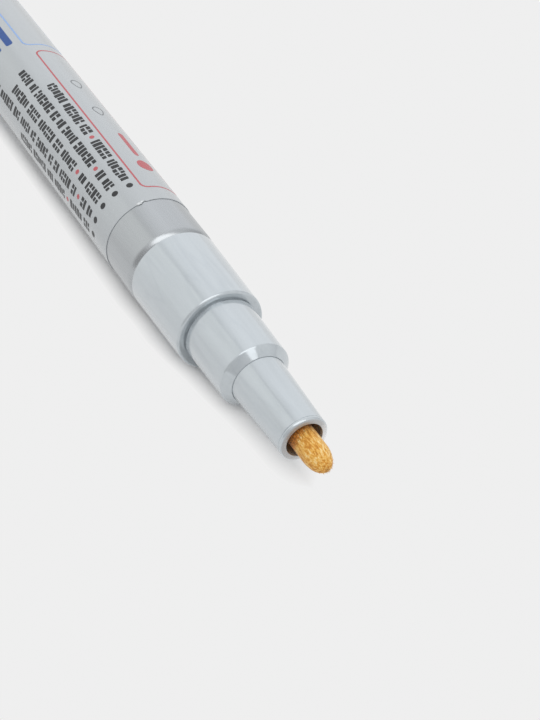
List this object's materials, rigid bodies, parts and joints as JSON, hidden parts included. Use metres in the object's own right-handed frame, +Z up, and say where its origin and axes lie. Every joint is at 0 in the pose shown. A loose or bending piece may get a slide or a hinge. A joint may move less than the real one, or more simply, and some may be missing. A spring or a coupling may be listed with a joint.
{
  "type": "paint marker",
  "caption": "Valve-action paint marker with a bullet fibre nib, stepped silver front, aluminium barrel with a printed film and a cap on its tail post.",
  "frame": {"origin": "on the table under the middle of the marker's whole length, cap on the tail post", "axes": "+X along the marker towards the nib, +Z up from the table that it lies on"},
  "size_m": [0.1738, 0.015, 0.015],
  "materials": {
    "barrel_aluminium": "brushed along the turn",
    "label_film": "satin printed silver film",
    "silver_plastic": "glossy with a fine pearl",
    "nib_fibre": "paint-soaked felt fibre",
    "valve_plastic": "natural moulded plastic",
    "stem_plastic": "natural moulded plastic",
    "seal_rubber": "moulded",
    "spring_steel": "drawn wire",
    "ball_steel": "polished",
    "cap_plastic": "glossy with a metallic fleck",
    "liner_plastic": "natural moulded plastic"
  },
  "bodies": {
    "marker_body": {"barrel": "barrel_aluminium", "barrel_label": "label_film", "front_section": "silver_plastic", "nozzle": "silver_plastic", "valve_housing": "valve_plastic", "valve_seat": "seal_rubber", "valve_retainer": "valve_plastic", "valve_spring": "spring_steel", "barrel_seal": "seal_rubber", "tail_plug": "silver_plastic"},
    "nib_and_valve": {"nib": "nib_fibre", "valve_stem": "stem_plastic", "valve_head": "stem_plastic"},
    "ball": {"mixing_ball": "ball_steel"},
    "cap_with_liner": {"cap": "cap_plastic", "cap_liner": "liner_plastic"}
  },
  "joints": [
    {"name": "nib_press", "type": "slide", "parent": "marker_body", "child": "nib_and_valve", "axis": [-1, 0, 0], "range_m": [0, 0.0022], "stiffness_N_per_m": 400, "springref_m": -0.0025, "deforming": ["valve_spring"]},
    {"name": "mixing_ball_roll", "type": "slide", "parent": "marker_body", "child": "ball", "axis": [1, 0, 0], "range_m": [-0.0319, 0.0319]},
    {"name": "cap_pull", "type": "slide", "parent": "marker_body", "child": "cap_with_liner", "axis": [-1, 0, 0], "range_m": [0, 0.04]}
  ]
}
